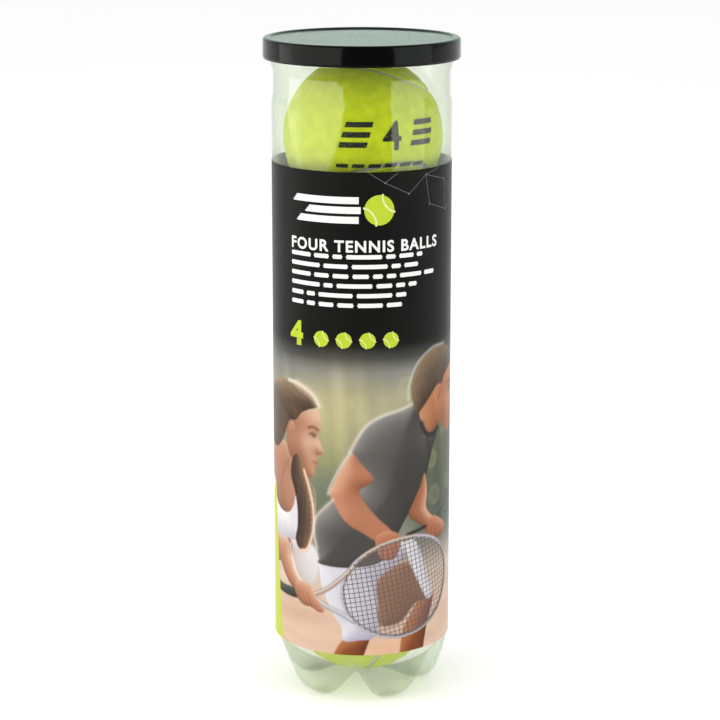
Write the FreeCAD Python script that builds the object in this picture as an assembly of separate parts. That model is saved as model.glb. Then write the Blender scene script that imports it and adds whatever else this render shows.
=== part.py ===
"""A pressurised tennis ball can: clear bottle-plastic tube with five feet, rolled-on
pull-open metal end, snap-on overcap, wrap label and four balls.

Millimetres, +Z up. The origin is on the surface the can stands on, on the tube's axis.
The front of the label faces -Y.
"""

import FreeCAD, Part

import math
import os

Vector = FreeCAD.Vector
UP = Vector(0, 0, 1)

# ---- driving dimensions -------------------------------------------------------------
BALL_RADIUS = 33.0
BALL_COUNT = 4
BALL_GAP = 0.3  # air between neighbouring balls, and under the first
BALL_LEANS = (0.0, 0.4, -0.4, 0.5)  # sideways place of each ball in the loose tube

TUBE_RADIUS = 37.3
TUBE_WALL = 0.55
NECK_RADIUS = 36.6
FOOT_COUNT = 5
FOOT_AZIMUTH = -62.6  # one foot's direction, in degrees from +X
BASE_TOP = 26.0  # where the feet and valleys have become a plain tube
DISH_BOTTOM = 4.6  # underside of the base on the axis
HUB_RADIUS = 5.0

# The tube is one moulding. It is written in four lengths, cut level at these heights.
TUBE_LENGTHS = ("can_base", "can_wall_lower", "can_wall_upper", "can_neck")
TUBE_CUTS = (0, 30, 140, 250, 300)

LABEL_BOTTOM = 23.6
LABEL_TOP = 228.0
LABEL_GAP = 0.03
LABEL_THICKNESS = 0.12
LABEL_BUTT = 0.6  # degrees left open where the label's two ends meet

SHEET = 0.3  # aluminium thickness of the end
SCORE_RADIUS = 35.1
SCORE_GAP = 0.05
SEAM_RADIUS = 39.65  # outside of the rolled seam
SEAM_HEIGHT = 3.4

LID_RADIUS = 40.85
LID_WALL = 0.85
LID_SKIRT = 8.6
LID_PANEL = 0.8
LID_RECESS = 0.6  # how far the lid's flat top lies below its rim
LID_ROOM = 5.8  # air between the metal end and the lid

TAB_LENGTH = 30.0
TAB_RING_RADIUS = 10.5
TAB_THICKNESS = 1.6
TAB_LIFT = 0.3  # air under the tab

# ---- levels worked out from them ----------------------------------------------------
seat = DISH_BOTTOM + 0.5 + TUBE_WALL + BALL_GAP
pitch = 2 * BALL_RADIUS + BALL_GAP
ball_levels = [seat + BALL_RADIUS + pitch * number for number in range(BALL_COUNT)]
panel_under = ball_levels[-1] + BALL_RADIUS + BALL_GAP
panel_top = panel_under + SHEET
lid_under = panel_top + LID_ROOM
lid_panel_top = lid_under + LID_PANEL
lid_top = lid_panel_top + LID_RECESS
seam_top = lid_top - 1.6
seam_bottom = seam_top - SEAM_HEIGHT
flange_top = seam_top - SHEET - 0.2
tab_under = panel_top + TAB_LIFT
tab_nose = SCORE_RADIUS - 1.8


# ---- helpers ------------------------------------------------------------------------
def in_section(across, height):
    """A point of a section drawn in the XZ plane."""
    return Vector(across, 0, height)


def in_plan(across, along):
    """A point of an outline drawn in the XY plane."""
    return Vector(across, along, 0)


def rounded_wire(corners, place):
    """A closed wire through corners (first, second, radius), each rounded by an arc."""
    points = [place(first, second) for first, second, radius in corners]
    edges = []
    last_end = None
    first_start = None
    for number, corner in enumerate(points):
        before = (points[number - 1] - corner).normalize()
        after = (points[(number + 1) % len(points)] - corner).normalize()
        radius = corners[number][2]
        if radius > 0:
            half_turn = before.getAngle(after) / 2
            start = corner + before * (radius / math.tan(half_turn))
            end = corner + after * (radius / math.tan(half_turn))
            inward = (before + after).normalize()
            middle = corner + inward * (radius / math.sin(half_turn) - radius)
            arc = Part.Arc(start, middle, end).toShape()
        else:
            start = end = corner
            arc = None
        if last_end is None:
            first_start = start
        elif (start - last_end).Length > 1e-6:
            edges.append(Part.makeLine(last_end, start))
        if arc:
            edges.append(arc)
        last_end = end
    if (first_start - last_end).Length > 1e-6:
        edges.append(Part.makeLine(last_end, first_start))
    return Part.Wire(edges)


def turned(corners, angle=360):
    """A solid of revolution about the can's axis."""
    face = Part.Face(rounded_wire(corners, in_section))
    return face.revolve(Vector(0, 0, 0), UP, angle)


def sheet_corners(path, thickness):
    """The outline of a sheet of even thickness that follows path, (across, height, bend)."""
    sides = ([], [])
    for number, (across, height, bend) in enumerate(path):
        here = Vector(across, height, 0)
        steps = []
        if number > 0:
            steps.append((here - Vector(*path[number - 1][:2], 0)).normalize())
        if number + 1 < len(path):
            steps.append((Vector(*path[number + 1][:2], 0) - here).normalize())
        normals = [Vector(-step.y, step.x, 0) for step in steps]
        mitre = (normals[0] + normals[-1]).normalize()
        reach = thickness / 2 / mitre.dot(normals[0])
        turn = steps[0].cross(steps[-1]).z
        for side, sign in zip(sides, (1, -1)):
            point = here + mitre * (reach * sign)
            shorten = thickness / 2 if turn * sign > 0 else -thickness / 2
            side.append((point.x, point.y, max(bend - shorten, 0) if bend else 0))
    return sides[0] + sides[1][::-1]


def export(name, shape):
    """Write one piece, after making sure that it's sound."""
    if not shape.isValid() or shape.Volume <= 0:
        raise ValueError(f"{name} isn't a sound solid")
    shape.exportStep(f"parts/{name}.step")
    print(f"{name}: {shape.Volume:.1f} mm3, {len(shape.Solids)} solid(s)")


# ---- tube with a five-footed base ---------------------------------------------------
def foot_share(turn):
    """How much of the foot's profile holds at this turn from a foot's middle, in degrees."""
    away = abs(turn) / (180 / FOOT_COUNT)
    return math.cos(math.pi / 2 * away**1.9) ** 2.4


def valley_profile(steps, inset):
    """The profile of a valley between two feet, from the hub to the tube."""
    curve = 1.6
    radius = TUBE_RADIUS - inset
    rise = BASE_TOP - DISH_BOTTOM - inset
    first = math.asin((HUB_RADIUS / radius) ** (curve / 2))
    points = []
    for step in range(steps + 1):
        lean = first + (math.pi / 2 - first) * step / steps
        across = radius * math.sin(lean) ** (2 / curve)
        drop = rise * max(math.cos(lean), 0) ** (2 / curve)
        points.append((across, BASE_TOP - drop))
    return points


def foot_profile(steps, inset):
    """The profile through a foot's middle, from the hub to the tube."""
    hub = valley_profile(steps, inset)[0][1]
    low = -0.35 + (0.95 / TUBE_WALL) * inset
    knots = [
        (HUB_RADIUS, hub),
        (10 + 0.2 * inset, 4.6 + inset),
        (15 + 0.5 * inset, 2.7 + 1.2 * inset),
        (19 + 0.5 * inset, 0.5 + 1.6 * inset),
        (23, low),
        (27.6 - 0.6 * inset, 0.6 + 1.4 * inset),
        (31.4 - 0.9 * inset, 4 + 0.9 * inset),
        (33.4 - inset, 9 + 0.5 * inset),
        (35.2 - inset, 14.4 + 0.4 * inset),
        (36.5 - inset, 20.3 + 0.2 * inset),
        (TUBE_RADIUS - inset, BASE_TOP),
    ]
    curve = Part.BSplineCurve()
    curve.interpolate([Vector(across, 0, height) for across, height in knots])
    first, last = curve.FirstParameter, curve.LastParameter
    places = [curve.value(first + (last - first) * step / steps) for step in range(steps + 1)]
    return [(place.x, place.z) for place in places]


def base_skin(inset):
    """The faces of the base, five alike, at this distance inside the outer skin."""
    profile_steps = 20
    turn_steps = 16
    valley = valley_profile(profile_steps, inset)
    foot = foot_profile(profile_steps, inset)
    half_sector = 180 / FOOT_COUNT
    rows = []
    for (valley_across, valley_height), (foot_across, foot_height) in zip(valley, foot):
        row = []
        for step in range(turn_steps + 1):
            turn = half_sector * (2 * step / turn_steps - 1)
            share = foot_share(turn)
            across = valley_across + share * (foot_across - valley_across)
            height = valley_height + share * (foot_height - valley_height)
            angle = math.radians(FOOT_AZIMUTH + turn)
            row.append(Vector(across * math.cos(angle), across * math.sin(angle), height))
        rows.append(row)
    surface = Part.BSplineSurface()
    surface.interpolate(rows)
    sector = surface.toShape()
    faces = []
    for number in range(FOOT_COUNT):
        face = sector.copy()
        face.rotate(Vector(0, 0, 0), UP, number * 360 / FOOT_COUNT)
        faces.append(face)
    return faces


def level_edges(faces, level):
    """The edges of the faces that lie at one level."""
    found = []
    for face in faces:
        for edge in face.Edges:
            box = edge.BoundBox
            if abs(box.ZMin - level) < 1e-4 and abs(box.ZMax - level) < 1e-4:
                found.append(edge)
    return found


def ring_from(edges, start_radius, radius, height):
    """A ring of edges like those of the base's rim, at another radius and height."""
    resize = FreeCAD.Matrix()
    resize.scale(radius / start_radius, radius / start_radius, 1)
    ring = []
    for edge in edges:
        moved = edge.transformGeometry(resize)
        moved.translate(Vector(0, 0, height - BASE_TOP))
        ring.append(moved)
    return ring


def eased(start, end, steps):
    """Points of a smooth S-shaped change from one (radius, height) to another."""
    points = []
    for step in range(1, steps + 1):
        part = step / steps
        share = part * part * (3 - 2 * part)
        radius = start[0] + share * (end[0] - start[0])
        points.append((radius, start[1] + part * (end[1] - start[1])))
    return points


def wall_rings():
    """Radius and height of the tube's outer skin, from the base up to the turned-down flange."""
    shoulder = (TUBE_RADIUS, 251)
    neck_start = (NECK_RADIUS, 257)
    neck_end = (NECK_RADIUS, 264)
    mouth = (TUBE_RADIUS + 0.35, 269.5)
    rings = [shoulder] + eased(shoulder, neck_start, 5)
    rings += [neck_end] + eased(neck_end, mouth, 5)
    return rings


def make_tube():
    """The clear tube: petal base, straight wall, slight neck and a flange rolled into the seam."""
    outer = base_skin(0)
    inner = base_skin(TUBE_WALL)
    rim = level_edges(outer, BASE_TOP)
    outside = wall_rings()
    mouth = outside[-1][0]
    hook = mouth + 1.2  # outside of the flange's turned-down edge
    outside += [
        (mouth, flange_top - TUBE_WALL),
        (hook - TUBE_WALL, flange_top - TUBE_WALL),
        (hook - TUBE_WALL, flange_top - 1.9),
        (hook, flange_top - 1.9),
        (hook, flange_top),
        (mouth - TUBE_WALL, flange_top),
    ]
    inside = [(radius - TUBE_WALL, height) for radius, height in reversed(wall_rings())]
    faces = outer + inner
    last = Part.Wire(Part.sortEdges(rim)[0])
    for radius, height in outside + inside:
        ring = Part.Wire(Part.sortEdges(ring_from(rim, TUBE_RADIUS, radius, height))[0])
        faces += Part.makeRuledSurface(last, ring).Faces
        last = ring
    inner_rim = Part.Wire(Part.sortEdges(level_edges(inner, BASE_TOP))[0])
    faces += Part.makeRuledSurface(last, inner_rim).Faces
    for skin, inset in ((outer, 0), (inner, TUBE_WALL)):
        hub_level = valley_profile(20, inset)[0][1]
        hub = Part.Wire(Part.sortEdges(level_edges(skin, hub_level))[0])
        faces.append(Part.Face(hub))
    sewn = Part.Compound(faces)
    sewn.sewShape(1e-3)
    solid = Part.Solid(sewn.Shells[0])
    if solid.Volume < 0:
        solid.reverse()
    lengths = {}
    for name, low, high in zip(TUBE_LENGTHS, TUBE_CUTS, TUBE_CUTS[1:]):
        slab = Part.makeBox(200, 200, high - low, Vector(-100, -100, low))
        lengths[name] = solid.common(slab).Solids[0]
    return lengths


# ---- label --------------------------------------------------------------------------
def make_label():
    """A printed wrap with its two ends butted together at the back."""
    inner = TUBE_RADIUS + LABEL_GAP
    outer = inner + LABEL_THICKNESS
    label = turned(
        [
            (inner, LABEL_BOTTOM, 0),
            (outer, LABEL_BOTTOM, 0),
            (outer, LABEL_TOP, 0),
            (inner, LABEL_TOP, 0),
        ],
        360 - LABEL_BUTT,
    )
    label.rotate(Vector(0, 0, 0), UP, 90 + LABEL_BUTT / 2)
    return label


# ---- metal end ----------------------------------------------------------------------
def make_seam_ring():
    """The end's outer part: score edge, countersink, chuck wall and the rolled double seam."""
    half = SHEET / 2
    mouth = TUBE_RADIUS + 0.35
    chuck = mouth - TUBE_WALL - 0.3
    outside = SEAM_RADIUS - half
    hook = mouth + 0.35
    path = [
        (SCORE_RADIUS, panel_under + half, 0),
        (35.7, panel_under + half, 0.35),
        (35.7, panel_under - 1.1, 0.4),
        (36.6, panel_under - 1.1, 0.4),
        (chuck, seam_top - half, 0.5),
        (outside, seam_top - half, 0.5),
        (outside, seam_bottom + half, 0.45),
        (hook, seam_bottom + half, 0.3),
        (hook, seam_bottom + 2.0, 0),
    ]
    return turned(sheet_corners(path, SHEET))


def make_sealing_compound():
    """The rubber gasket squeezed between the flange and the rolled seam."""
    mouth = TUBE_RADIUS + 0.35
    return turned(
        [
            (mouth - 0.3, flange_top + 0.02, 0),
            (mouth + 1.2, flange_top + 0.02, 0),
            (mouth + 1.2, flange_top + 0.18, 0),
            (mouth - 0.3, flange_top + 0.18, 0),
        ]
    )


def make_tear_panel():
    """The disc inside the score line, with a stiffening groove that points down."""
    middle = panel_under + SHEET / 2
    groove = 0.6
    path = [
        (0, middle, 0),
        (24.0, middle, 0.5),
        (24.8, middle - groove, 0.5),
        (26.4, middle - groove, 0.5),
        (27.2, middle, 0.5),
        (SCORE_RADIUS - SCORE_GAP, middle, 0),
    ]
    return turned(sheet_corners(path, SHEET))


def make_tab_rivet():
    """The rivet that holds the tab and the tongue of tab sheet that stays flat under it."""
    from_nose = 6.3
    centre = Vector(0, tab_nose - from_nose, 0)
    shank = Part.makeCylinder(1.9, TAB_THICKNESS + 0.1, centre + UP * panel_top)
    head = Part.makeCylinder(2.7, 0.6, centre + UP * (panel_top + TAB_THICKNESS - 0.2))
    head = head.makeFillet(0.25, [head.Edges[0]])
    tongue_wire = rounded_wire(
        [
            (-3.1, centre.y - 3.1, 1.4),
            (3.1, centre.y - 3.1, 1.4),
            (3.1, centre.y + 3.0, 1.4),
            (-3.1, centre.y + 3.0, 1.4),
        ],
        in_plan,
    )
    tongue = Part.Face(tongue_wire).extrude(UP * SHEET)
    tongue.translate(UP * (tab_under + 0.1))
    return shank.fuse([tongue, head]).removeSplitter()


def make_pull_tab():
    """The ring pull: curled rim, finger hole, web and a window round the rivet."""
    ring_y = tab_nose - TAB_LENGTH + TAB_RING_RADIUS
    nose_half = 7.6
    outline = Part.Wire(
        [
            Part.Arc(
                Vector(TAB_RING_RADIUS, ring_y, 0),
                Vector(0, ring_y - TAB_RING_RADIUS, 0),
                Vector(-TAB_RING_RADIUS, ring_y, 0),
            ).toShape(),
            Part.makeLine(
                Vector(-TAB_RING_RADIUS, ring_y, 0), Vector(-nose_half, tab_nose - 3.4, 0)
            ),
            Part.Arc(
                Vector(-nose_half, tab_nose - 3.4, 0),
                Vector(0, tab_nose, 0),
                Vector(nose_half, tab_nose - 3.4, 0),
            ).toShape(),
            Part.makeLine(
                Vector(nose_half, tab_nose - 3.4, 0), Vector(TAB_RING_RADIUS, ring_y, 0)
            ),
        ]
    )
    plate = Part.Face(outline).extrude(UP * TAB_THICKNESS)
    rims = [
        edge
        for edge in plate.Edges
        if abs(edge.BoundBox.ZMax - edge.BoundBox.ZMin) < 1e-6
    ]
    plate = plate.makeFillet(0.55, rims)
    hole = Part.makeCylinder(7.3, TAB_THICKNESS, Vector(0, ring_y, 0))
    flatten = FreeCAD.Matrix()
    flatten.scale(1, 0.86, 1)
    hole = hole.transformGeometry(flatten)
    hole.translate(Vector(0, ring_y * 0.14, 0))
    window = Part.Face(
        rounded_wire(
            [
                (-3.9, tab_nose - 10.0, 1.6),
                (3.9, tab_nose - 10.0, 1.6),
                (3.9, tab_nose - 2.6, 1.6),
                (-3.9, tab_nose - 2.6, 1.6),
            ],
            in_plan,
        )
    ).extrude(UP * TAB_THICKNESS)
    recess = Part.Face(
        rounded_wire(
            [
                (-6.9, tab_nose - 11.9, 0.9),
                (6.9, tab_nose - 11.9, 0.9),
                (5.7, tab_nose - 5.2, 1.2),
                (-5.7, tab_nose - 5.2, 1.2),
            ],
            in_plan,
        )
    ).extrude(UP * TAB_THICKNESS)
    recess.translate(UP * (TAB_THICKNESS - 0.7))
    tab = plate.cut([hole, window, recess])
    tab.translate(UP * tab_under)
    return tab.Solids[0]


# ---- overcap ------------------------------------------------------------------------
def make_lid():
    """The snap-on overcap: low round rim, flat panel and a skirt with a bead inside."""
    skirt_bottom = lid_top - LID_SKIRT
    inside = LID_RADIUS - LID_WALL
    bead = SEAM_RADIUS + 0.08
    bead_level = seam_bottom - 0.9
    return turned(
        [
            (0, lid_under, 0),
            (inside, lid_under, 0.5),
            (inside, bead_level + 0.7, 0.2),
            (bead, bead_level + 0.25, 0.1),
            (bead, bead_level - 0.25, 0.1),
            (inside, bead_level - 0.8, 0.2),
            (inside + 0.1, skirt_bottom, 0.2),
            (LID_RADIUS - 0.25, skirt_bottom, 0.35),
            (LID_RADIUS, skirt_bottom + 1.2, 0.8),
            (LID_RADIUS - 0.25, lid_top, 1.3),
            (37.9, lid_top, 0.4),
            (37.2, lid_panel_top, 0.3),
            (0, lid_panel_top, 0),
        ]
    )


# ---- balls --------------------------------------------------------------------------
CORE_RADIUS = 29.9
CORE_WALL = 3.4
SEAM_WIDTH = 1.7
SEAM_RECESS = 0.55
CORE_JOINT = 0.04  # thickness of the cement between the two half shells


def seam_curve_point(part):
    """A point of the ball's seam on the unit sphere, and its direction, for part 0 to 1."""
    large, small = 0.75, 0.25
    angle = 2 * math.pi * part
    point = Vector(
        large * math.cos(angle) + small * math.cos(3 * angle),
        large * math.sin(angle) - small * math.sin(3 * angle),
        2 * math.sqrt(large * small) * math.sin(2 * angle),
    )
    along = Vector(
        -large * math.sin(angle) - 3 * small * math.sin(3 * angle),
        large * math.cos(angle) - 3 * small * math.cos(3 * angle),
        4 * math.sqrt(large * small) * math.cos(2 * angle),
    )
    return point.normalize(), along.normalize()


def seam_band(side):
    """A cone-like face from inside the core to beyond the felt, along one side of the seam."""
    points = 64
    offset = side * SEAM_WIDTH / 2 / BALL_RADIUS
    places = []
    for number in range(points):
        point, along = seam_curve_point(number / points)
        aside = point.cross(along)
        places.append((point * math.cos(offset) + aside * math.sin(offset)).normalize())
    edges = []
    for radius in (CORE_RADIUS - 5, BALL_RADIUS + 3):
        curve = Part.BSplineCurve()
        curve.interpolate([place * radius for place in places], True)
        edges.append(curve.toShape())
    return Part.makeRuledSurface(edges[0], edges[1])


def make_ball_pieces():
    """One ball at the origin: two rubber half shells, two felt panels and the seam between."""
    core = Part.makeSphere(CORE_RADIUS).cut(Part.makeSphere(CORE_RADIUS - CORE_WALL))
    half = Part.makeBox(80, 80, 40, Vector(-40, -40, CORE_JOINT / 2))
    upper = core.common(half)
    lower = upper.copy()
    lower.rotate(Vector(0, 0, 0), Vector(1, 0, 0), 180)
    felt = Part.makeSphere(BALL_RADIUS).cut(Part.makeSphere(CORE_RADIUS))
    pieces, _ = felt.generalFuse([seam_band(-1), seam_band(1)])
    solids = sorted(pieces.Solids, key=lambda solid: solid.Volume)
    seam = solids[0].common(Part.makeSphere(BALL_RADIUS - SEAM_RECESS))
    return {
        "core_lower": lower.Solids[0],
        "core_upper": upper.Solids[0],
        "felt_a": solids[1],
        "felt_b": solids[2],
        "seam": seam.Solids[0],
    }


# Each ball lies as it happened to fall: a turn about one axis, then about +Z.
BALL_TURNS = (
    (Vector(1, 0.3, 0), 35, 20),
    (Vector(0.2, 1, 0.1), 70, 130),
    (Vector(1, -0.6, 0.2), 110, 250),
    (Vector(0.9, -0.43, 0), 78.6, 84),
)


# ---- build --------------------------------------------------------------------------
os.makedirs("parts", exist_ok=True)
for tube_name, tube_length in make_tube().items():
    export(tube_name, tube_length)
export("label_wrap", make_label())
export("seam_ring", make_seam_ring())
export("sealing_compound", make_sealing_compound())
export("tear_panel", make_tear_panel())
export("tab_rivet", make_tab_rivet())
export("pull_tab", make_pull_tab())
export("lid", make_lid())

ball_pieces = make_ball_pieces()
for number in range(BALL_COUNT):
    tilt_axis, tilt, spin = BALL_TURNS[number]
    for piece_name, piece in ball_pieces.items():
        placed = piece.copy()
        placed.rotate(Vector(0, 0, 0), tilt_axis, tilt)
        placed.rotate(Vector(0, 0, 0), UP, spin)
        placed.translate(Vector(BALL_LEANS[number], 0, ball_levels[number]))
        export(f"ball_{number + 1}_{piece_name}", placed)

print(f"lid top {lid_top:.2f}, panel {panel_under:.2f}-{panel_top:.2f}, lid under {lid_under:.2f}")
print(f"tab under {tab_under:.2f}, nose at y {tab_nose:.2f}, levels {ball_levels}")
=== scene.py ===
"""Looks of a clear can of four tennis balls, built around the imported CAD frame.

Metres, +Z up, the label's front faces -Y. Sizes written here are millimetres times MM.
"""

import math

import bmesh
import bpy
import numpy as np
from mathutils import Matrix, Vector, kdtree, noise


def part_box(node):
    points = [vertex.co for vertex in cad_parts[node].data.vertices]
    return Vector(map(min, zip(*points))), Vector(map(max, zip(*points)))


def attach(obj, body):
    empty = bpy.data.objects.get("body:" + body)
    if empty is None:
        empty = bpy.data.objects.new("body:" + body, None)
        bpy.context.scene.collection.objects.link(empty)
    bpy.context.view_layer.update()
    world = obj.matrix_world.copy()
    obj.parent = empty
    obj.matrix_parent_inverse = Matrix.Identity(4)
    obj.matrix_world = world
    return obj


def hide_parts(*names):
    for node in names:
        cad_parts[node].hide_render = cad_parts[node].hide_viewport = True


MM = 0.001
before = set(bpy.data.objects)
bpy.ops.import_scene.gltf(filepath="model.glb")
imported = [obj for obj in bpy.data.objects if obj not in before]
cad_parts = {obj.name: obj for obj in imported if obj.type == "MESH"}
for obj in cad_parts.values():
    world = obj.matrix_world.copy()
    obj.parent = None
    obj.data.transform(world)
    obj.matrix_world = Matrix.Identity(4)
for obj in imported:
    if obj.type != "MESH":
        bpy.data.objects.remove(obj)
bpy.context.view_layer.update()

BALLS = 4
TUBE_RADIUS = 37.3 * MM
TUBE_WALL = 0.55 * MM
BALL_RADIUS = 33.0 * MM
FOOT_COUNT = 5
FOOT_AZIMUTH = math.radians(-62.6)
TUBE_NODES = ("can_base", "can_wall_lower", "can_wall_upper", "can_neck")

label_low, label_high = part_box("label_wrap")
LABEL_RADIUS = label_high.y
LABEL_BOTTOM = label_low.z
LABEL_TOP = label_high.z
INK_LIFT = 0.03 * MM  # how far the lettering and other print stand off the film

# the printed picture, in millimetres round the label's front middle and up
PRINT_DENSITY = 0.68  # how much of the light the printed film gives back
PICTURE_TOP = 158
PICTURE_LEFT = -78  # the ends of the finely painted part
PICTURE_RIGHT = 80
PICTURE_ROUND = 2 * math.pi * LABEL_RADIUS / MM


# ---- small tools for meshes ---------------------------------------------------------
def new_piece(name, points, faces, body, sharp_degrees=40):
    """A smooth-shaded mesh object that rides on a body."""
    mesh = bpy.data.meshes.new(name)
    mesh.from_pydata([tuple(point) for point in points], [], [tuple(face) for face in faces])
    mesh.update()
    mesh.shade_smooth()
    if sharp_degrees < 180:
        mesh.set_sharp_from_angle(angle=math.radians(sharp_degrees))
    piece = bpy.data.objects.new(name, mesh)
    bpy.context.scene.collection.objects.link(piece)
    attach(piece, body)
    return piece


def grid_faces(rows, columns, around):
    """Quads between rows of points; around joins each row's end to its start."""
    last = columns if around else columns - 1
    faces = []
    for row in range(rows - 1):
        for column in range(last):
            ahead = (column + 1) % columns
            low, high = row * columns, (row + 1) * columns
            faces.append((low + column, low + ahead, high + ahead, high + column))
    return faces


def arc_points(centre, radius, start, end, steps):
    """Points (across, height) of an arc, angles in degrees, from start to end."""
    points = []
    for step in range(steps + 1):
        angle = math.radians(start + (end - start) * step / steps)
        across = centre[0] + radius * math.cos(angle)
        points.append((across, centre[1] + radius * math.sin(angle)))
    return points


def rows_of_rings(profile, segments):
    """One row of points round +Z for each (radius, height) in millimetres."""
    angles = [2 * math.pi * segment / segments for segment in range(segments)]
    return [
        [(across * math.cos(a) * MM, across * math.sin(a) * MM, height * MM) for a in angles]
        for across, height in profile
    ]


def cad_high(node):
    """The highest level of a CAD node."""
    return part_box(node)[1].z


def give(piece, material):
    """Make this the piece's only material."""
    piece.data.materials.clear()
    piece.data.materials.append(material)


# ---- small tools for materials ------------------------------------------------------
def new_material(name):
    """An empty node material and its output node."""
    material = bpy.data.materials.new(name)
    material.use_nodes = True
    tree = material.node_tree
    tree.nodes.clear()
    return material, tree, tree.nodes.new("ShaderNodeOutputMaterial")


def add_node(tree, kind, inputs=None, **settings):
    """A node with some settings; inputs maps a socket's name or number to a value or a link."""
    made = tree.nodes.new(kind)
    for key, value in settings.items():
        setattr(made, key, value)
    for key, value in (inputs or {}).items():
        if isinstance(value, bpy.types.NodeSocket):
            tree.links.new(value, made.inputs[key])
        else:
            made.inputs[key].default_value = value
    return made


def noise_value(tree, scale, detail=3, roughness=0.5, stretch=(1, 1, 1)):
    """A noise factor in the object's own space, with scale in cells per metre."""
    place = add_node(tree, "ShaderNodeTexCoord")
    mapping = add_node(tree, "ShaderNodeMapping", {"Vector": place.outputs["Object"], "Scale": stretch})
    made = add_node(
        tree, "ShaderNodeTexNoise",
        {"Vector": mapping.outputs["Vector"], "Scale": scale, "Detail": detail, "Roughness": roughness},
    )
    return made.outputs["Fac"]


def ranged(tree, value, low, high, start=0.0, end=1.0):
    """Map a value from start..end to low..high."""
    span = {"From Min": start, "From Max": end, "To Min": low, "To Max": high}
    return add_node(tree, "ShaderNodeMapRange", {"Value": value, **span}).outputs["Result"]


def spread(tree, factor, low, high):
    """Map a noise factor's middle range to low..high."""
    return ranged(tree, factor, low, high, 0.3, 0.7)


def reckon(tree, operation, first, second):
    """The result of a sum, product or power."""
    made = add_node(tree, "ShaderNodeMath", {0: first, 1: second}, operation=operation)
    return made.outputs[0]


def two_colours(tree, factor, first, second, blend="MIX"):
    """Two colours mixed by a factor; each is a socket or red, green and blue."""
    inputs = {"Factor": factor}
    for number, colour in ((6, first), (7, second)):
        linked = isinstance(colour, bpy.types.NodeSocket)
        inputs[number] = colour if linked else (*colour, 1)
    made = add_node(tree, "ShaderNodeMix", inputs, data_type="RGBA", blend_type=blend)
    return made.outputs[2]


def two_shaders(tree, share, first, second):
    """Two shaders mixed by the second one's share."""
    return add_node(tree, "ShaderNodeMixShader", {0: share, 1: first, 2: second}).outputs[0]


def bump(tree, height, strength, distance, after=None):
    """A bump normal from a height factor."""
    inputs = {"Height": height, "Strength": strength, "Distance": distance}
    if after:
        inputs["Normal"] = after
    return add_node(tree, "ShaderNodeBump", inputs).outputs["Normal"]


def principled(name, inputs, build=None):
    """A Principled material; build(tree) returns more inputs, worked out by nodes."""
    material, tree, out = new_material(name)
    shader = add_node(tree, "ShaderNodeBsdfPrincipled")
    found = dict(inputs)
    if build:
        found.update(build(tree))
    for key, value in found.items():
        if isinstance(value, bpy.types.NodeSocket):
            tree.links.new(value, shader.inputs[key])
        else:
            shader.inputs[key].default_value = value
    tree.links.new(shader.outputs["BSDF"], out.inputs["Surface"])
    return material


# ---- materials ----------------------------------------------------------------------
def mirror_share(tree, normal, head_on):
    """How much light a clear surface mirrors: head_on when seen square on, most at its edge."""
    edge = add_node(tree, "ShaderNodeLayerWeight", {"Blend": 0.5, "Normal": normal})
    steep = reckon(tree, "POWER", edge.outputs["Facing"], 5.0)
    return ranged(tree, steep, head_on, 0.8), edge.outputs["Facing"]


def clear_plastic_material():
    """Thin clear bottle plastic: passes light, mirrors by angle, with a faint green haze."""
    material, tree, out = new_material("clear_plastic")
    wave = noise_value(tree, 28, 2, stretch=(1, 1, 0.35))
    ripple = bump(tree, wave, 0.12, 0.0006)
    mirror, facing = mirror_share(tree, ripple, 0.05)
    clear = add_node(tree, "ShaderNodeBsdfTransparent", {"Color": (0.962, 0.975, 0.94, 1)})
    haze_colour = two_colours(tree, wave, (0.66, 0.84, 0.66), (0.8, 0.92, 0.8))
    before = add_node(tree, "ShaderNodeBsdfDiffuse", {"Color": haze_colour})
    through = add_node(tree, "ShaderNodeBsdfTranslucent", {"Color": haze_colour})
    haze = two_shaders(tree, 0.5, before.outputs[0], through.outputs[0])
    haze_share = ranged(tree, reckon(tree, "POWER", facing, 2.0), 0.006, 0.21)
    body = two_shaders(tree, haze_share, clear.outputs[0], haze)
    shine = add_node(tree, "ShaderNodeBsdfGlossy", {"Roughness": 0.04, "Normal": ripple})
    whole = two_shaders(tree, mirror, body, shine.outputs[0])
    tree.links.new(whole, out.inputs["Surface"])
    return material


def lid_material():
    """Glossy black moulded plastic with a faint flow texture and fine wear."""

    def build(tree):
        cloud = noise_value(tree, 60, 4)
        scratch = noise_value(tree, 900, 2, stretch=(1, 0.08, 1))
        colour = two_colours(tree, cloud, (0.001, 0.001, 0.001), (0.0024, 0.0022, 0.0022))
        rough = reckon(tree, "ADD", spread(tree, cloud, 0.06, 0.12), spread(tree, scratch, 0.0, 0.05))
        flow = bump(tree, cloud, 0.03, 0.0008)
        fine = bump(tree, scratch, 0.02, 0.0001, flow)
        return {"Base Color": colour, "Roughness": rough, "Normal": fine}

    return principled(
        "lid_plastic", {"IOR": 1.38, "Specular IOR Level": 0.3, "Specular Tint": (0.9, 1.0, 0.95, 1)},
        build,
    )


def felt_material(name, dark, light):
    """Optic yellow-green felt: mottled, matted wool with a soft sheen."""

    def build(tree):
        clumps = noise_value(tree, 260, 5, 0.62)
        fibres = noise_value(tree, 1700, 3, 0.7)
        broad = noise_value(tree, 35, 2)
        ground = two_colours(tree, spread(tree, clumps, 0, 1), dark, light)
        tint = two_colours(tree, spread(tree, broad, 0.0, 0.3), ground, light)
        matted = bump(tree, clumps, 0.6, 0.0009)
        hairy = bump(tree, fibres, 0.7, 0.0004, matted)
        return {"Base Color": tint, "Normal": hairy}

    return principled(
        name,
        {
            "Roughness": 0.92, "Specular IOR Level": 0.15, "Sheen Weight": 0.3, "Sheen Roughness": 0.5,
            "Sheen Tint": (0.9, 1.0, 0.45, 1),
        },
        build,
    )


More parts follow.
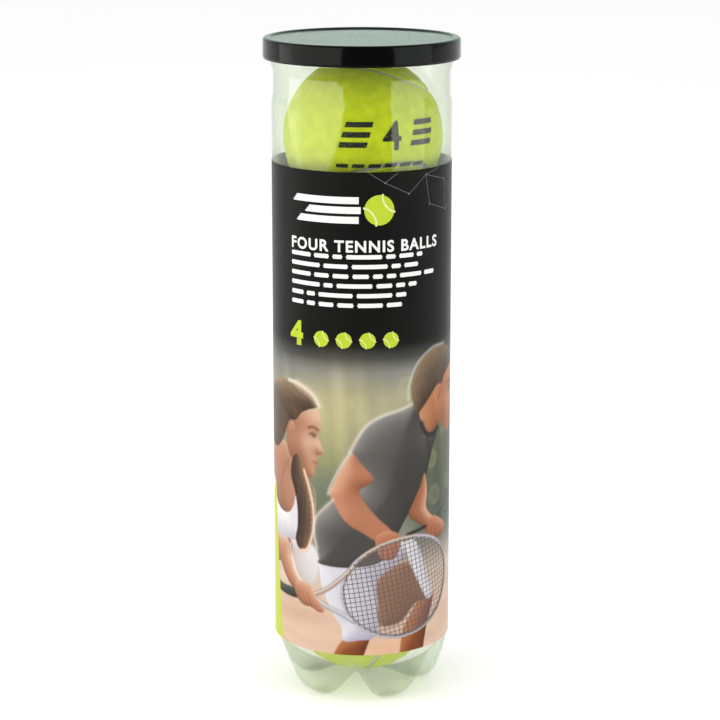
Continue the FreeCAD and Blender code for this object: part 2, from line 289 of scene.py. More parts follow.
def grained_material(name, dark, light, grain, raised, roughness, clear_cut=True):
    """Matt rubber or compound; grain is a noise's scale, detail and roughness."""

    def build(tree):
        cells = noise_value(tree, *grain)
        share = spread(tree, cells, 0, 1) if clear_cut else cells
        colour = two_colours(tree, share, dark, light)
        return {"Base Color": colour, "Normal": bump(tree, cells, *raised)}

    return principled(name, {"Roughness": roughness}, build)


def aluminium_material(name, low, high, roughness):
    """Rolled, lacquered aluminium with a fine grain along one direction."""

    def build(tree):
        grain = noise_value(tree, 2600, 3, 0.6, stretch=(0.03, 1, 1))
        cloud = noise_value(tree, 70, 3)
        colour = two_colours(tree, spread(tree, cloud, 0, 1), low, high)
        rough = spread(tree, grain, roughness - 0.06, roughness + 0.08)
        return {"Base Color": colour, "Roughness": rough, "Normal": bump(tree, grain, 0.15, 0.00006)}

    return principled(name, {"Metallic": 1.0}, build)


def printed_material(name, make_colour):
    """Glossy label film, very slightly wavy and dusty; make_colour(tree) gives its print."""

    def build(tree):
        colour = make_colour(tree)
        wave = noise_value(tree, 45, 2, stretch=(1, 1, 0.3))
        dust = noise_value(tree, 1300, 3, 0.7)
        rough = spread(tree, dust, 0.3, 0.4)
        return {"Base Color": colour, "Roughness": rough, "Normal": bump(tree, wave, 0.06, 0.0007)}

    return principled(name, {"IOR": 1.46, "Specular IOR Level": 0.1}, build)


def label_black_material():
    """Black print, a touch uneven in its density."""

    def colour(tree):
        cloud = spread(tree, noise_value(tree, 22, 3), 0, 1)
        return two_colours(tree, cloud, (0.0055, 0.0055, 0.005), (0.008, 0.008, 0.0072))

    return printed_material("label_black", colour)


def painted_material():
    """The colours painted on a mesh's points, over a fine print screen."""

    def colour(tree):
        paint = add_node(tree, "ShaderNodeVertexColor", layer_name="print")
        screen = noise_value(tree, 3200, 2)
        density = two_colours(tree, screen, (0.94, 0.94, 0.94), (1.06, 1.06, 1.06))
        return two_colours(tree, 1.0, paint.outputs["Color"], density, "MULTIPLY")

    return printed_material("label_picture", colour)


def ink_material(name, colour):
    """Flat printing ink with slight density changes."""
    variation = 0.08
    low = tuple(channel * (1 - variation) for channel in colour)
    high = tuple(min(channel * (1 + variation), 1) for channel in colour)
    return printed_material(name, lambda tree: two_colours(tree, noise_value(tree, 700, 3), low, high))


# ---- clear tube ---------------------------------------------------------------------
def foot_share(turn):
    """How much of the foot's profile holds at this turn, in radians, from a foot's middle."""
    away = abs(turn) / (math.pi / FOOT_COUNT)
    return math.cos(math.pi / 2 * min(away, 1) ** 1.9) ** 2.4


def curve_point(a, b, c, d, part):
    """A point between b and c on the smooth curve (Catmull-Rom) through four knots."""
    bend = (c - a) * part + (2 * a - 5 * b + 4 * c - d) * part**2
    return b + 0.5 * (bend + (3 * b - a - 3 * c + d) * part**3)


def smooth_curve(knots, steps):
    """Points along an open smooth curve through knots, evenly shared between them."""
    knots = np.array(knots, float)
    ends = np.vstack([2 * knots[0] - knots[1], knots, 2 * knots[-1] - knots[-2]])
    points = []
    for step in range(steps + 1):
        place = (len(knots) - 1) * step / steps
        first = min(int(place), len(knots) - 2)
        points.append(curve_point(*ends[first : first + 4], place - first))
    return points


def base_rows(inset, steps, segments):
    """Rows of points of the petal base at a distance inside the outer skin, from hub to wall."""
    hub_radius, base_top, dish, curve = 5.0, 26.0, 4.6, 1.6
    radius = TUBE_RADIUS / MM - inset
    rise = base_top - dish - inset
    first = math.asin((hub_radius / radius) ** (curve / 2))
    valley = []
    for step in range(steps + 1):
        lean = first + (math.pi / 2 - first) * step / steps
        across = radius * math.sin(lean) ** (2 / curve)
        valley.append((across, base_top - rise * max(math.cos(lean), 0) ** (2 / curve)))
    low = max(-0.05 + 1.15 * inset, 0.02)
    foot = smooth_curve([
        valley[0], (10 + 0.2 * inset, 4.6 + inset), (15 + 0.5 * inset, 2.7 + 1.2 * inset),
        (19 + 0.5 * inset, 0.65 + 1.3 * inset), (23, low), (27.6 - 0.6 * inset, 0.7 + 1.2 * inset),
        (31.4 - 0.9 * inset, 4 + 0.9 * inset), (33.4 - inset, 9 + 0.5 * inset),
        (35.2 - inset, 14.4 + 0.4 * inset), (36.5 - inset, 20.3 + 0.2 * inset), (radius, base_top),
    ], steps)
    rows = []
    sector = 2 * math.pi / FOOT_COUNT
    for (valley_across, valley_height), (foot_across, foot_height) in zip(valley, foot):
        row = []
        for segment in range(segments):
            angle = 2 * math.pi * segment / segments
            turn = (angle - FOOT_AZIMUTH + sector / 2) % sector - sector / 2
            share = foot_share(turn)
            across = valley_across + share * (foot_across - valley_across)
            height = valley_height + share * (foot_height - valley_height)
            row.append((across * math.cos(angle) * MM, across * math.sin(angle) * MM, height * MM))
        rows.append(row)
    return rows


def wall_profile():
    """Outer radius and height of the tube above its base, in millimetres."""
    radius = TUBE_RADIUS / MM
    neck, mouth = 36.6, 37.65
    profile = [(radius, 26 + 9.0 * step) for step in range(1, 26)]
    for start, end in (((radius, 251), (neck, 257)), ((neck, 264), (mouth, 269.5))):
        for step in range(13):
            part = step / 12
            share = part * part * (3 - 2 * part)
            across = start[0] + share * (end[0] - start[0])
            profile.append((across, start[1] + part * (end[1] - start[1])))
    return profile


def make_tube():
    """Blown clear tube: petal base, wall, neck and the flange that goes into the seam."""
    segments = 300
    steps = 64
    flange_top = cad_high(TUBE_NODES[-1]) / MM
    hook = 38.85
    wall = wall_profile()
    mouth = wall[-1][0]
    thick = TUBE_WALL / MM
    rim = [
        (mouth, flange_top - thick), (hook - thick, flange_top - thick),
        (hook - thick, flange_top - 1.9), (hook, flange_top - 1.9), (hook, flange_top),
        (mouth - thick, flange_top),
    ]
    inside = [(across - thick, height) for across, height in reversed(wall)]
    rows = base_rows(0, steps, segments)
    rows += rows_of_rings(wall + rim + inside, segments)
    rows += base_rows(thick, steps, segments)[::-1]
    points = [point for row in rows for point in row]
    faces = grid_faces(len(rows), segments, True)
    outer_hub = len(points)
    points.append((0, 0, rows[0][0][2]))
    inner_hub = len(points)
    points.append((0, 0, rows[-1][0][2]))
    last = (len(rows) - 1) * segments
    for segment in range(segments):
        ahead = (segment + 1) % segments
        faces.append((outer_hub, ahead, segment))
        faces.append((inner_hub, last + segment, last + ahead))
    tube = new_piece("clear_tube", points, faces, "can", 50)
    give(tube, clear_plastic_material())
    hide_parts(*TUBE_NODES)


# ---- overcap ------------------------------------------------------------------------
def make_lid():
    """Snap-on cap: low round rim, flat panel, skirt with a soft lip and a bead inside."""
    low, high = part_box("lid")
    top, bottom, outer = high.z / MM, low.z / MM, high.x / MM
    panel = top - 0.6
    under = panel - 0.8
    inside = outer - 0.85
    profile = [(0.001, panel), (12, panel), (24, panel), (34, panel)]
    profile += arc_points((36.9, panel + 0.3), 0.3, -90, -45, 4)
    profile += arc_points((38.1, top - 0.4), 0.4, 135, 90, 5)
    profile += arc_points((outer - 1.35, top - 1.25), 1.25, 90, 5, 10)
    profile += [(outer - 0.04, bottom + 3.2), (outer - 0.02, bottom + 1.4)]
    profile += arc_points((outer - 0.6, bottom + 1.0), 0.6, 0, -70, 6)
    profile += arc_points((outer - 0.5, bottom + 0.25), 0.22, -40, -140, 5)
    profile += [(inside, bottom + 0.5), (inside, bottom + 2.6), (inside - 0.3, bottom + 3.1)]
    profile += [(inside - 0.3, bottom + 3.5), (inside, bottom + 4.0), (inside, under - 0.6)]
    profile += arc_points((inside - 0.4, under - 0.4), 0.4, 0, 90, 4)
    profile += [(34, under), (0.001, under)]
    segments = 288
    points = [point for row in rows_of_rings(profile, segments) for point in row]
    faces = [face[::-1] for face in grid_faces(len(profile), segments, True)]
    lid = new_piece("black_cap", points, faces, "lid", 60)
    give(lid, lid_material())
    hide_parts("lid")


# ---- balls --------------------------------------------------------------------------
def cad_mesh_copy(node, name):
    """A free copy of a CAD node's mesh."""
    piece = bpy.data.objects.new(name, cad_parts[node].data.copy())
    bpy.context.scene.collection.objects.link(piece)
    piece.data.materials.clear()
    return piece


def remeshed(piece, voxel):
    """Even out a mesh's faces and soften its edges."""
    modifier = piece.modifiers.new("even", "REMESH")
    modifier.mode = "VOXEL"
    modifier.voxel_size = voxel
    modifier.use_smooth_shade = True
    depsgraph = bpy.context.evaluated_depsgraph_get()
    mesh = bpy.data.meshes.new_from_object(piece.evaluated_get(depsgraph))
    piece.modifiers.clear()
    piece.data = mesh


def ball_centre(number):
    """The middle of a ball's two felt panels."""
    felt_low, felt_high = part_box(f"ball_{number}_felt_a")
    other_low, other_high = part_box(f"ball_{number}_felt_b")
    lowest = Vector(map(min, felt_low, other_low))
    highest = Vector(map(max, felt_high, other_high))
    return (lowest + highest) / 2


def roughen_felt(piece, centre):
    """Raise and lower the felt's outer face like matted wool."""
    mesh = piece.data
    points = np.empty(len(mesh.vertices) * 3)
    mesh.vertices.foreach_get("co", points)
    points = points.reshape(-1, 3) - np.array(centre)
    radii = np.linalg.norm(points, axis=1)
    outer = radii > BALL_RADIUS - 0.9 * MM
    for index in np.nonzero(outer)[0]:
        place = Vector(points[index])
        coarse = noise.fractal(place / (3.2 * MM), 1.0, 2.0, 3)
        fine = noise.noise(place / (0.9 * MM))
        lift = (0.16 * coarse + 0.1 * fine - 0.02) * MM
        points[index] *= 1 + lift / radii[index]
    mesh.vertices.foreach_set("co", (points + np.array(centre)).ravel())
    mesh.update()


def fuzz_points(centre, seam_tree, count, seed):
    """Random places on a ball's felt, away from its seam."""
    random = np.random.default_rng(seed)
    places = random.normal(size=(count, 3))
    places /= np.linalg.norm(places, axis=1)[:, None]
    kept = []
    for place in places:
        spot = Vector(place) * BALL_RADIUS + centre
        if seam_tree.find(spot)[2] > 1.3 * MM:
            kept.append(place)
    return np.array(kept), random


def make_fuzz(number, centre, seam_tree, count, material):
    """Short curled fibres that stand off the felt."""
    normals, random = fuzz_points(centre, seam_tree, count, 40 + number)
    total = len(normals)
    aside = np.cross(normals, random.normal(size=(total, 3)))
    aside /= np.linalg.norm(aside, axis=1)[:, None]
    across = np.cross(normals, aside)
    length = random.uniform(0.7, 1.7, total)[:, None] * MM
    rise = random.uniform(0.1, 0.5, total)[:, None] * MM
    curl = random.uniform(-0.5, 0.5, total)[:, None] * MM
    half_width = 0.035 * MM
    points = np.empty((total, 6, 3))
    for step, (along, up, bend) in enumerate(((0, -0.3, 0), (0.5, 1, 0.6), (1, 0.75, 1.6))):
        middle = (
            normals * (BALL_RADIUS + rise * up)
            + aside * length * along
            + across * curl * bend
            + np.array(centre)
        )
        taper = half_width * (1 - 0.35 * step)
        points[:, 2 * step] = middle - across * taper
        points[:, 2 * step + 1] = middle + across * taper
    faces = []
    for fibre in range(total):
        base = 6 * fibre
        faces.append((base, base + 1, base + 3, base + 2))
        faces.append((base + 2, base + 3, base + 5, base + 4))
    fuzz = new_piece(f"ball_{number}_fuzz", points.reshape(-1, 3), faces, f"ball_{number}", 180)
    give(fuzz, material)


def make_ball(number, felt, fuzz_felt, ink):
    """One ball: two felt panels, the seam and core from the frame, fibres and a printed mark."""
    centre = ball_centre(number)
    voxel = (0.55 if number == BALLS else 0.8) * MM
    for half in ("a", "b"):
        node = f"ball_{number}_felt_{half}"
        panel = cad_mesh_copy(node, f"ball_{number}_panel_{half}")
        remeshed(panel, voxel)
        roughen_felt(panel, centre)
        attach(panel, f"ball_{number}")
        give(panel, felt)
        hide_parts(node)
    seam_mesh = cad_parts[f"ball_{number}_seam"].data
    seam_tree = kdtree.KDTree(len(seam_mesh.vertices))
    for index, vertex in enumerate(seam_mesh.vertices):
        seam_tree.insert(vertex.co, index)
    seam_tree.balance()
    make_fuzz(number, centre, seam_tree, 9000, fuzz_felt)
    mark = text_mesh(str(BALLS), 12 * MM, 0.03)
    put_on_ball(centred(mark), f"ball_{number}_numeral", number, centre, ink)
    put_on_ball(mark_bars(), f"ball_{number}_bars", number, centre, ink)


# ---- lettering ----------------------------------------------------------------------
def text_mesh(words, height, bold, spacing=1.0):
    """A flat mesh of some words; the capitals are this high and the start is at the origin."""
    curve = bpy.data.curves.new("words", "FONT")
    curve.body = words
    curve.offset = bold / 2
    curve.space_character = spacing
    curve.size = 1.0
    curve.resolution_u = 5
    holder = bpy.data.objects.new("words", curve)
    bpy.context.scene.collection.objects.link(holder)
    depsgraph = bpy.context.evaluated_depsgraph_get()
    mesh = bpy.data.meshes.new_from_object(holder.evaluated_get(depsgraph))
    bpy.data.objects.remove(holder)
    capital = 0.729  # share of the font's size that a capital takes
    for vertex in mesh.vertices:
        vertex.co *= height / capital
    return mesh


def sliced(mesh, step, axes):
    """Cut a flat mesh along even lines, so that it can follow a curve."""
    made = bmesh.new()
    made.from_mesh(mesh)
    bmesh.ops.remove_doubles(made, verts=made.verts, dist=1e-7)
    for axis in axes:
        places = [vertex.co[axis] for vertex in made.verts]
        normal = Vector((1, 0, 0)) if axis == 0 else Vector((0, 1, 0))
        cuts = int((max(places) - min(places)) / step) + 1
        for cut in range(1, cuts):
            geometry = made.verts[:] + made.edges[:] + made.faces[:]
            level = normal * (min(places) + cut * step)
            bmesh.ops.bisect_plane(made, geom=geometry, plane_co=level, plane_no=normal)
    made.to_mesh(mesh)
    made.free()
    return mesh


def centred(mesh):
    """Move a flat mesh so that its box's middle is at the origin."""
    xs = [vertex.co.x for vertex in mesh.vertices]
    ys = [vertex.co.y for vertex in mesh.vertices]
    middle = Vector(((min(xs) + max(xs)) / 2, (min(ys) + max(ys)) / 2, 0))
    for vertex in mesh.vertices:
        vertex.co -= middle
    return mesh


def flat_bars(bars):
    """One flat mesh of slanted bars, each (left, right, bottom, top), in millimetres."""
    slant = 0.3
    points, faces = [], []
    for left, right, bottom, top in bars:
        first = len(points)
        for across, up in ((left, bottom), (right, bottom), (right, top), (left, top)):
            points.append(((across + slant * up) * MM, up * MM, 0))
        faces.append(range(first, first + 4))
    mesh = bpy.data.meshes.new("bars")
    mesh.from_pydata(points, [], faces)
    return mesh


def mark_bars():
    """The plain bars on both sides of a ball's numeral, and a dashed line below it."""
    bars = []
    for level in (-4.6, -0.5, 3.6):
        bars.append((-21, -9.5, level, level + 2.2))
        bars.append((9.5, 21, level, level + 2.2))
    for dash in range(6):
        left = -20 + 6.9 * dash
        bars.append((left, left + 5.2, -13, -11.4))
    return flat_bars(bars)


def put_on_ball(mesh, name, number, centre, ink):
    """Wrap a flat mesh onto a ball, to the right of its front and a little above its middle."""
    mesh = sliced(mesh, 1.2 * MM, (0, 1))
    radius = BALL_RADIUS + 0.22 * MM
    turn = math.radians((20, 140, 250, 21)[number - 1])
    rise = math.radians(7)
    for vertex in mesh.vertices:
        aside = vertex.co.x / radius + turn
        up = vertex.co.y / radius + rise
        vertex.co = centre + radius * Vector(
            (math.sin(aside) * math.cos(up), -math.cos(aside) * math.cos(up), math.sin(up))
        )
    piece = bpy.data.objects.new(name, mesh)
    bpy.context.scene.collection.objects.link(piece)
    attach(piece, f"ball_{number}")
    give(piece, ink)


# ---- label --------------------------------------------------------------------------
def on_label(along, height, lift):
    """A point on the label: along its front from the middle, and height, in metres."""
    radius = LABEL_RADIUS + lift
    angle = along / LABEL_RADIUS
    return (radius * math.sin(angle), -radius * math.cos(angle), height)


def make_film():
    """The wrap itself: a closed thin shell, printed black, open at its butt joint at the back."""
    thick = 0.1 * MM
    half = math.pi * LABEL_RADIUS - 0.04 * MM
    columns = 240
    rows = []
    outer = LABEL_RADIUS - 0.02 * MM
    for radius, height in (
        (outer, LABEL_BOTTOM), (outer, (LABEL_BOTTOM + LABEL_TOP) / 2), (outer, LABEL_TOP),
        (outer - thick, LABEL_TOP), (outer - thick, (LABEL_BOTTOM + LABEL_TOP) / 2),
        (outer - thick, LABEL_BOTTOM),
    ):
        row = []
        for column in range(columns + 1):
            along = half * (2 * column / columns - 1)
            row.append(on_label(along, height, radius - LABEL_RADIUS))
        rows.append(row)
    points = [point for row in rows for point in row]
    width = columns + 1
    faces = grid_faces(6, width, False)
    for column in range(columns):
        faces.append((5 * width + column, 5 * width + column + 1, column + 1, column))
    for column in (0, columns):
        ends = [row * width + column for row in range(6)]
        faces.append(ends if column == 0 else ends[::-1])
    film = new_piece("label_film", points, faces, "can", 40)
    give(film, label_black_material())
    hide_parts("label_wrap")


def make_lettering(white, green):
    """A plain heading and the ball count on the label's front."""
    for name, words, along, level, height, bold, spacing, colour in (
        ("label_heading", "FOUR TENNIS BALLS", -32.6, 195.6, 4.75, 0.06, 1.16, white),
        ("label_count", str(BALLS), -33.0, 155.6, 9.6, 0.1, 1.0, green),
    ):
        mesh = sliced(text_mesh(words, height * MM, bold, spacing), 1.0 * MM, (0,))
        put_on_label(mesh, name, along * MM, level * MM, colour)


def put_on_label(mesh, name, along, height, ink):
    """Wrap a flat mesh round the label, with its origin at this place."""
    for vertex in mesh.vertices:
        vertex.co = Vector(on_label(along + vertex.co.x, height + vertex.co.y, INK_LIFT))
    piece = bpy.data.objects.new(name, mesh)
    bpy.context.scene.collection.objects.link(piece)
    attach(piece, "can")
    give(piece, ink)


# ---- printed picture ----------------------------------------------------------------
def ink(code):
    """A linear colour from a hexadecimal screen colour."""
    channels = []
    for place in (0, 2, 4):
        value = int(code[place : place + 2], 16) / 255
        channels.append(value / 12.92 if value <= 0.04045 else ((value + 0.055) / 1.055) ** 2.4)
    return np.array(channels)


def smooth(value, low, high):
    """0 below low, 1 above high, with an eased change between them."""
    part = np.clip((value - low) / (high - low), 0, 1)
    return part * part * (3 - 2 * part)


def rounded_loop(points, steps=5):
    """A closed smooth curve through the points; a doubled point is a corner."""
    knots = np.array(points, float)
    made = []
    count = len(knots)
    for number in range(count):
        a, b, c, d = (knots[(number + shift) % count] for shift in (-1, 0, 1, 2))
        if np.allclose(b, c):
            continue
        a = b if np.allclose(a, b) else a
        d = c if np.allclose(c, d) else d
        made += [curve_point(a, b, c, d, step / steps) for step in range(steps)]
    return made


def turned(centre, across, up, angle):
    """A point this far across and up from a centre, turned about it."""
    turn_u, turn_v = math.cos(angle), math.sin(angle)
    return (centre[0] + across * turn_u - up * turn_v, centre[1] + across * turn_v + up * turn_u)


def ellipse(centre, half, tilt, steps):
    """Points round a tilted ellipse with these half sizes."""
    points = []
    for step in range(steps):
        angle = 2 * math.pi * step / steps
        points.append(turned(centre, half[0] * math.cos(angle), half[1] * math.sin(angle), tilt))
    return points


def softened(values, passes):
    """An array averaged with its neighbours a number of times."""
    for _ in range(passes):
        for axis in (0, 1):
            edge = np.pad(values, [(1, 1) if axis == side else (0, 0) for side in (0, 1)], "edge")
            length = values.shape[axis]
            before = np.take(edge, range(0, length), axis)
            after = np.take(edge, range(2, length + 2), axis)
            values = (before + 2 * values + after) / 4
    return values


class Painting:
    """Colours on a grid over part of the label; u runs round it and v up, in millimetres."""

    def __init__(self, left, right, bottom, top, step):
        self.columns = round((right - left) / step) + 1
        self.rows = round((top - bottom) / step) + 1
        self.step = step
        across = np.linspace(left, right, self.columns)
        self.u, self.v = np.meshgrid(across, np.linspace(bottom, top, self.rows))
        self.colour = np.zeros((self.rows, self.columns, 3))

    def lay(self, colour, share):
        """Cover with a colour, or an array of them, by a share from 0 to 1."""
        self.colour += share[..., None] * (colour - self.colour)

    def glow(self, code, centre, size, share):
        """A soft round patch of light or shade."""
        far = ((self.u - centre[0]) / size[0]) ** 2 + ((self.v - centre[1]) / size[1]) ** 2
        self.lay(ink(code), share * np.exp(-far))

    def edge_distance(self, points, closed=True):
        """Distance to an outline or a line; inside a closed outline it is positive."""
        points = np.array(points)
        ends = np.roll(points, -1, 0) if closed else points[1:]
        nearest = np.full(self.u.shape, 1e9)
        inside = np.zeros(self.u.shape, bool)
        for (au, av), (bu, bv) in zip(points, ends):
            du, dv = bu - au, bv - av
            long = max(du * du + dv * dv, 1e-9)
            part = np.clip(((self.u - au) * du + (self.v - av) * dv) / long, 0, 1)
            gap = (self.u - au - part * du) ** 2 + (self.v - av - part * dv) ** 2
            nearest = np.minimum(nearest, gap)
            if av != bv:
                crosses = (av > self.v) != (bv > self.v)
                inside ^= crosses & (self.u < (self.v - av) * du / dv + au)
        distance = np.sqrt(nearest)
        return np.where(inside, distance, -distance) if closed else distance

    def mottle(self, seed, cell, turn=0):
        """Smooth random values from -1 to 1 in cells of this size, turned by some degrees."""
        rows, columns, far_off = 97, 89, 400
        values = np.random.default_rng(seed).uniform(-1, 1, (rows, columns))
        angle = math.radians(turn)
        across = (self.u * math.cos(angle) + self.v * math.sin(angle)) / cell[0] + far_off
        along = (self.v * math.cos(angle) - self.u * math.sin(angle)) / cell[1] + far_off
        column, row = across.astype(int), along.astype(int)
        x, y = smooth(across - column, 0, 1), smooth(along - row, 0, 1)
        corner = [
            values[(row + down) % rows, (column + aside) % columns]
            for down in (0, 1)
            for aside in (0, 1)
        ]
        low = corner[0] * (1 - x) + corner[1] * x
        high = corner[2] * (1 - x) + corner[3] * x
        return low * (1 - y) + high * y

    def shape(self, points, base, lit, dark, depth=4.0, light=(-0.5, 0.85), soft=0.35, grain=None):
        """A shape that looks round: lit towards the light and darker on its far side."""
        distance = self.edge_distance(rounded_loop(points))
        rise_v, rise_u = np.gradient(softened(distance, 14), self.step)
        facing = -(rise_u * light[0] + rise_v * light[1])
        near = np.exp(-np.clip(distance, 0, None) / depth)
        toward = (near * np.clip(facing, 0, 1))[..., None]
        away = (near * np.clip(-facing, 0, 1))[..., None]
        colour = ink(base) + toward * (ink(lit) - ink(base)) + away * (ink(dark) - ink(base))
        if grain is not None:
            colour = colour * (1 + grain[..., None])
        self.lay(colour, smooth(distance, -soft, soft))

    def stroke(self, points, code, width, share=1.0, soft=0.3):
        """A smooth line of even width through the points."""
        line = smooth_curve(points, 6 * (len(points) - 1))
        distance = self.edge_distance(line, closed=False)
        self.lay(ink(code), share * (1 - smooth(distance, width / 2 - soft, width / 2 + soft)))

    def piece(self, name):
        """The mesh of this part of the label, with its colours on the points."""
        places = [on_label(u * MM, v * MM, 0) for u, v in zip(self.u.ravel(), self.v.ravel())]
        faces = grid_faces(self.rows, self.columns, False)
        made = new_piece(name, places, faces, "can", 180)
        layer = made.data.color_attributes.new("print", "FLOAT_COLOR", "POINT")
        values = np.ones((self.rows * self.columns, 4))
        values[:, :3] = np.clip(PRINT_DENSITY * self.colour.reshape(-1, 3), 0.001, 0.95)
        layer.data.foreach_set("color", values.ravel())
        return made


def paint_background(art):
    """Out-of-focus trees and light above pale clay, fading into black at the top."""
    levels = (23, 45, 56, 63, 70, 85, 100, 118, 134, 145, 151, 156.5)
    codes = (
        "EBC9B0", "E6C4AA", "DCC8B8", "BFAE9E", "989788", "878C7A", "8F9378", "A8A483", "B6B090",
        "92918A", "504F4B", "20201E",
    )
    rows = np.array([ink(code) for code in codes])
    for channel in range(3):
        art.colour[..., channel] = np.interp(art.v, levels, rows[:, channel])
    round_it = art.u * MM / LABEL_RADIUS
    ends = smooth(np.abs(np.mod(art.u - PICTURE_RIGHT + 60, PICTURE_ROUND) - 60), 0, 14)
    low = 1 - smooth(art.v, 55, 70)
    high = smooth(art.v, 60, 80) * (1 - smooth(art.v, 146, 156))
    green = smooth(np.cos(round_it - 1.55), 0.385, 0.887) * (1 - smooth(art.v, 118, 140))
    art.lay(ink("454F42"), 0.75 * high * green)
    art.lay(ink("7C7E78"), 0.5 * high * smooth(np.cos(round_it + 2.27), -0.03, 0.786))
    art.glow("D2C894", (-9, 131), (13, 13), 0.62)
    art.glow("C9C487", (-12, 117), (8, 10), 0.45)
    art.glow("A9B45A", (-15, 107), (5, 5), 0.22)
    art.glow("5C6654", (-15, 90), (7, 12), 0.5)
    trunks = art.mottle(3, (4.5, 60), 4)
    art.colour *= 1 + (0.16 * high * ends * trunks)[..., None]
    cloud = art.mottle(5, (9, 9))
    art.colour *= 1 + (0.08 * high * ends * cloud)[..., None]
    random = np.random.default_rng(11)
    for _ in range(62):
        centre = (PICTURE_RIGHT - random.uniform(6, 229), random.uniform(88, 148))
        radius = random.uniform(1.6, 5.0)
        gap = np.hypot(art.u - centre[0], art.v - centre[1])
        disc = 1 - smooth(gap, radius - 0.8, radius + 0.8)
        rim = 0.4 + 0.6 * smooth(gap, 0, radius)
        code = ("D9D3A0", "B9BE78", "C7C5A8")[random.integers(3)]
        art.lay(ink(code), random.uniform(0.06, 0.2) * disc * rim * high)
    dust = art.mottle(7, (14, 2.5), -6)
    art.colour *= 1 + (0.07 * low * ends * dust)[..., None]
    art.glow("F3BE90", (9, 26), (16, 5), 0.6)
    art.glow("F0DCCB", (-33, 58), (9, 7), 0.7)
    art.glow("C79B7D", (-34, 38), (16, 5), 0.35)


def paint_band(art):
    """The yellow-green band that comes in low from the left."""
    bottom, tall = 23, 69
    down = 1 - np.clip((art.v - bottom) / tall, 0, 1)
    edge = -48.9 + 7.4 * down**1.15
    other = -48.7 - 46 * down**0.8
    band = smooth(edge - art.u, -0.2, 0.3) * smooth(art.u - other, -0.3, 0.3)
    art.lay(ink("CEDD35"), band * (1 - smooth(art.v, 90, 92)))


def on_head(points, centre, size, tilt):
    """Points drawn about a head one unit high, placed on the label."""
    return [turned(centre, size * ahead, size * up, math.radians(tilt)) for ahead, up in points]


PROFILE = (
    (0.1, 0.42), (0.3, 0.34), (0.385, 0.2), (0.4, 0.07), (0.372, 0.015), (0.41, -0.07), (0.465, -0.165),
    (0.455, -0.2), (0.4, -0.22), (0.392, -0.25), (0.414, -0.285), (0.39, -0.31), (0.404, -0.34),
    (0.374, -0.38), (0.385, -0.44), (0.34, -0.5), (0.2, -0.46), (0.0, -0.34), (-0.08, -0.22),
    (-0.12, 0.0), (-0.1, 0.25),
)


def paint_face(art, centre, size, tilt, skin, lit, dark, light):
    """A plain calm profile on textbook thirds, facing right; nobody in particular."""

    def put(points):
        return on_head(points, centre, size, tilt)

    def soft_line(points, code, width, share):
        art.stroke(put(points), code, width * size, share, 0.014 * size)

    grain = 0.03 * art.mottle(21, (3, 3))
    art.shape(put(PROFILE), skin, lit, dark, 0.16 * size, light, grain=grain)
    for place, reach, code, share in (
        ((0.26, -0.14), 0.1, lit, 0.35), ((0.31, 0.22), 0.1, lit, 0.3), ((0.12, -0.3), 0.12, dark, 0.4),
        ((0.33, 0.0), 0.045, dark, 0.45), ((0.05, 0.05), 0.1, dark, 0.25),
    ):
        spot = put([place])[0]
        art.glow(code, spot, (reach * size, reach * size), share)
    soft_line([(0.24, 0.065), (0.3, 0.088), (0.365, 0.072)], "4A3528", 0.022, 0.8)
    soft_line([(0.262, -0.005), (0.3, 0.012), (0.342, -0.004)], "35261F", 0.017, 0.85)
    soft_line([(0.275, -0.022), (0.33, -0.02)], "7A5545", 0.01, 0.5)
    soft_line([(0.318, -0.003), (0.322, -0.013)], "2A211D", 0.02, 0.7)
    soft_line([(0.4, -0.195), (0.42, -0.19)], "6B4234", 0.016, 0.6)
    soft_line([(0.375, -0.15), (0.37, -0.185), (0.385, -0.205)], dark, 0.012, 0.5)
    soft_line([(0.35, -0.31), (0.395, -0.308)], "7E3F38", 0.014, 0.75)
    soft_line([(0.365, -0.29), (0.403, -0.287)], "B4655A", 0.026, 0.5)
    soft_line([(0.367, -0.332), (0.397, -0.336)], "BB6C60", 0.028, 0.5)
    ear = [(-0.05, 0.03), (0.0, 0.05), (0.03, 0.01), (0.01, -0.07), (-0.02, -0.13), (-0.05, -0.09)]
    art.shape(put(ear), skin, lit, dark, 0.03 * size, light, 0.25)
    soft_line([(-0.03, 0.02), (0.005, 0.02), (0.0, -0.05), (-0.025, -0.08)], dark, 0.014, 0.7)


def paint_fingers(art, first, step, reach, code, width):
    """Three short lines between the fingers of a closed hand."""
    for number in range(3):
        low = (first[0] + step[0] * number, first[1] + step[1] * number)
        art.stroke([low, (low[0] + reach[0], low[1] + reach[1])], code, width, 0.6, 0.3)


